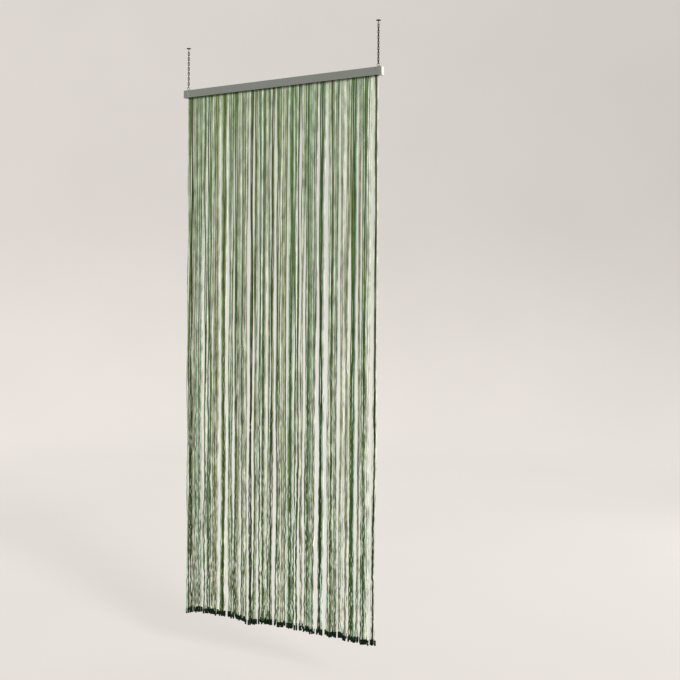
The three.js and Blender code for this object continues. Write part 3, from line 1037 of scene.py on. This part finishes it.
# Stage, in millimetres: radii of the flat floor's rings, and reach, bend and height of the bowl
# round it
FLOOR_RINGS = (0, 3000, 5000)
BOWL_RADIUS = 9000
BOWL_BEND = 2500
BOWL_HEIGHT = 7000
BOWL_SIDES = 96

# Lights, in metres: what they aim at, the rim light's way from there and its size, and how soft
# the main light is
AIM = np.array([0, 0, -1.2])
RIM_WAY = np.array([2.3, 3.4, 0.6])
RIM_SIZE = 2.4
KEY_DISTANCE = 5
KEY_SOFTNESS = math.radians(14)
KEY_COLOUR = (1, 0.985, 0.96)
SKY_COLOUR = (1, 0.985, 0.97, 1)


def add_light(name, kind, energy, place, aim, **values):
    """A light at a place, turned to shine at another place."""
    light = bpy.data.lights.new(name, kind)
    light.energy = energy
    for key, value in values.items():
        setattr(light, key, value)
    lamp = bpy.data.objects.new(name, light)
    bpy.context.scene.collection.objects.link(lamp)
    lamp.location = place
    way = aim - place
    heading = math.atan2(-way[0], way[1])
    pitch = math.atan2(way[2], math.hypot(way[0], way[1]))
    lamp.rotation_euler = (math.pi / 2 + pitch, 0, heading)


class CURTAIN_OT_stage(bpy.types.Operator):
    """Sets the pale backdrop, the lights and the camera"""

    bl_idname = "curtain.stage"
    bl_label = "Set the stage"

    def execute(self, context):
        settings = context.scene.curtain_stage
        scene = context.scene
        arc = np.radians(np.linspace(0, 90, 13))
        radius = np.concatenate([
            FLOOR_RINGS, BOWL_RADIUS - BOWL_BEND + BOWL_BEND * np.sin(arc), [BOWL_RADIUS]])
        height = np.concatenate([
            np.zeros(len(FLOOR_RINGS)), BOWL_BEND - BOWL_BEND * np.cos(arc), [BOWL_HEIGHT]])
        points, faces = turned(np.stack([radius, settings.floor / MM + height], -1), BOWL_SIDES)
        mesh = bpy.data.meshes.new("backdrop")
        mesh.from_pydata((points * MM).tolist(), [], faces.tolist())
        mesh.polygons.foreach_set("use_smooth", np.ones(len(mesh.polygons), bool))
        mesh.materials.append(backdrop_material(tuple(settings.wall), settings.glow))
        backdrop = bpy.data.objects.new("backdrop", mesh)
        scene.collection.objects.link(backdrop)
        backdrop.visible_shadow = False

        world = bpy.data.worlds.new("studio")
        scene.world = world
        world.use_nodes = True
        sky = world.node_tree.nodes["Background"]
        sky.inputs["Color"].default_value = SKY_COLOUR
        sky.inputs["Strength"].default_value = settings.ambient

        around, up = settings.key_from, settings.key_height
        way = np.array([math.sin(around) * math.cos(up), -math.cos(around) * math.cos(up),
                        math.sin(up)])
        add_light("key", "SUN", settings.key, AIM + KEY_DISTANCE * way, AIM,
                  angle=KEY_SOFTNESS, color=KEY_COLOUR)
        add_light("rim", "AREA", settings.rim, AIM + RIM_WAY, AIM, shape="SQUARE", size=RIM_SIZE)

        scene.view_settings.view_transform = "Standard"
        camera = bpy.data.objects.new("camera", bpy.data.cameras.new("camera"))
        scene.collection.objects.link(camera)
        camera.location = settings.camera
        camera.rotation_euler = (math.pi / 2, -settings.roll, settings.heading)
        camera.data.sensor_width = 36
        camera.data.lens = settings.lens
        camera.data.shift_y = settings.rise
        camera.data.clip_end = 60
        scene.camera = camera
        return {"FINISHED"}


class CURTAIN_PT_panel(bpy.types.Panel):
    """Lists the steps that make the curtain"""

    bl_idname = "CURTAIN_PT_panel"
    bl_label = "String Curtain"
    bl_space_type = "VIEW_3D"
    bl_region_type = "UI"
    bl_category = "Curtain"

    def draw(self, context):
        for step in STEPS:
            self.layout.operator(step.bl_idname)
        for name in SETTINGS:
            group = getattr(context.scene, name)
            box = self.layout.box()
            for key in group.__annotations__:
                box.prop(group, key)


SETTINGS = {
    "curtain_cords": CordSettings,
    "curtain_sleeves": SleeveSettings,
    "curtain_rail": RailSettings,
    "curtain_hangers": HangerSettings,
    "curtain_stage": StageSettings,
}
STEPS = [CURTAIN_OT_stage, CURTAIN_OT_rail, CURTAIN_OT_strip, CURTAIN_OT_cords,
         CURTAIN_OT_sleeves, CURTAIN_OT_eyes, CURTAIN_OT_chains, CURTAIN_OT_hooks]


def register():
    """Registers the settings, the steps and the panel."""
    for group in (*SETTINGS.values(), *STEPS, CURTAIN_PT_panel):
        bpy.utils.register_class(group)
    for name, group in SETTINGS.items():
        setattr(bpy.types.Scene, name, bpy.props.PointerProperty(type=group))


def unregister():
    """Takes away what register added."""
    for name in SETTINGS:
        delattr(bpy.types.Scene, name)
    for group in reversed((*SETTINGS.values(), *STEPS, CURTAIN_PT_panel)):
        bpy.utils.unregister_class(group)


def main():
    """Makes every piece in order."""
    register()
    for step in STEPS:
        group, name = step.bl_idname.split(".")
        getattr(getattr(bpy.ops, group), name)()


if __name__ == "__main__":
    main()
